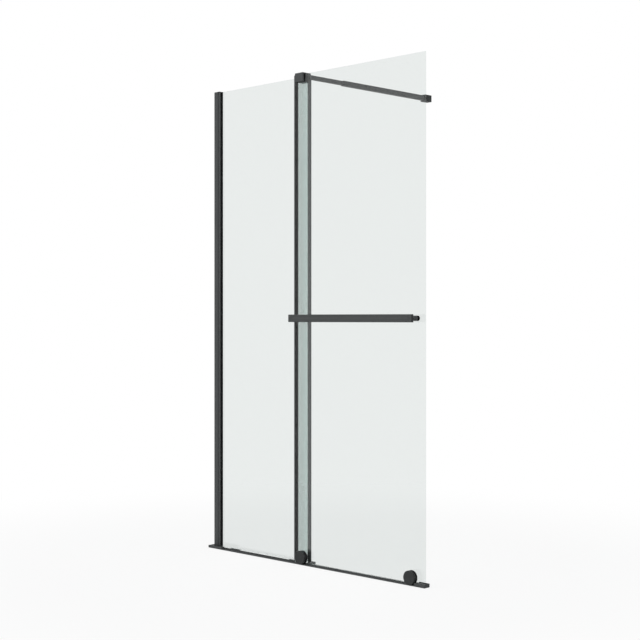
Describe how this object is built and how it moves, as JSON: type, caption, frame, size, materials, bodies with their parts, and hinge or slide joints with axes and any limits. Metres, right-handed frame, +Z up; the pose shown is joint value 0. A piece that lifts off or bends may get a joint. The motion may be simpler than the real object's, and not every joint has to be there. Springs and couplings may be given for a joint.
{
  "type": "sliding shower screen",
  "caption": "Walk-in shower screen: a fixed glass pane in a wall profile, a glass pane sliding on floor wheels in front of it with a towel-bar handle, and a telescopic brace to the back wall.",
  "frame": {"origin": "middle of the floor rail's underside, on the floor", "axes": "+X along the screen away from the side wall, +Y into the shower towards the back wall, +Z up"},
  "size_m": [1.21, 0.8374, 1.966],
  "materials": {
    "black_metal": "satin powder coat",
    "glass": "polished clear",
    "clear_seal": "clear soft plastic",
    "black_plastic": "matt",
    "black_rubber": "matt",
    "bearing_steel": "ground",
    "stainless": "brushed",
    "tape": "matt foam tape"
  },
  "bodies": {
    "screen_frame": {"floor_rail": "black_metal", "rail_tape": "tape", "rail_end_stop_wall": "black_metal", "rail_end_stop_open": "black_metal", "wall_channel": "black_metal", "glazing_profile": "black_metal", "profile_screws": "stainless", "wall_profile_cap": "black_plastic", "glazing_gasket_front": "black_rubber", "glazing_gasket_rear": "black_rubber", "fixed_glass": "glass", "floor_channel": "clear_seal", "floor_channel_end_cap": "black_plastic", "setting_blocks": "black_rubber", "fixed_edge_profile": "black_metal", "overlap_seal": "clear_seal", "brace_clamp": "black_metal", "clamp_pads": "black_rubber", "clamp_grub_screws": "stainless", "guide_liner_front": "black_plastic", "guide_liner_rear": "black_plastic", "brace_inner_tube": "black_metal", "brace_inner_glide": "black_plastic"},
    "brace_end": {"brace_outer_tube": "black_metal", "brace_set_screw": "stainless", "brace_wall_bracket": "black_metal"},
    "door": {"door_glass": "glass", "door_edge_profile": "black_metal", "door_lip_seal": "clear_seal", "door_bottom_sweep": "clear_seal", "handle_bar": "black_metal", "handle_end_cap_left": "black_metal", "handle_end_cap_right": "black_metal", "handle_screws": "stainless", "handle_screw_caps": "black_metal", "roller_axle_left": "stainless", "roller_gasket_left": "black_rubber", "roller_nut_left": "black_metal", "handle_post_left": "black_metal", "handle_rear_bolt_left": "black_metal", "handle_gasket_left": "black_rubber", "roller_axle_right": "stainless", "roller_gasket_right": "black_rubber", "roller_nut_right": "black_metal", "handle_post_right": "black_metal", "handle_rear_bolt_right": "black_metal", "handle_gasket_right": "black_rubber"},
    "roller_left": {"wheel_left": "black_plastic", "wheel_bearing_left": "bearing_steel", "wheel_cover_left": "black_metal"},
    "roller_right": {"wheel_right": "black_plastic", "wheel_bearing_right": "bearing_steel", "wheel_cover_right": "black_metal"}
  },
  "joints": [
    {"name": "door_slide", "type": "slide", "parent": "screen_frame", "child": "door", "axis": [-1, 0, 0], "range_m": [0, 0.46]},
    {"name": "roller_left_spin", "type": "hinge", "parent": "door", "child": "roller_left", "pos_m": [-0.041, -0.007, 0.0296], "axis": [0, 1, 0], "continuous": true},
    {"name": "roller_right_spin", "type": "hinge", "parent": "door", "child": "roller_right", "pos_m": [0.5335, -0.007, 0.0296], "axis": [0, 1, 0], "continuous": true},
    {"name": "brace_slide", "type": "slide", "parent": "screen_frame", "child": "brace_end", "axis": [0, 1, 0], "range_m": [-0.19, 0.26]}
  ],
  "couplings": [
    {"joint": "roller_left_spin", "follows": "door_slide", "rad_per_m": -40.65},
    {"joint": "roller_right_spin", "follows": "door_slide", "rad_per_m": -40.65}
  ]
}
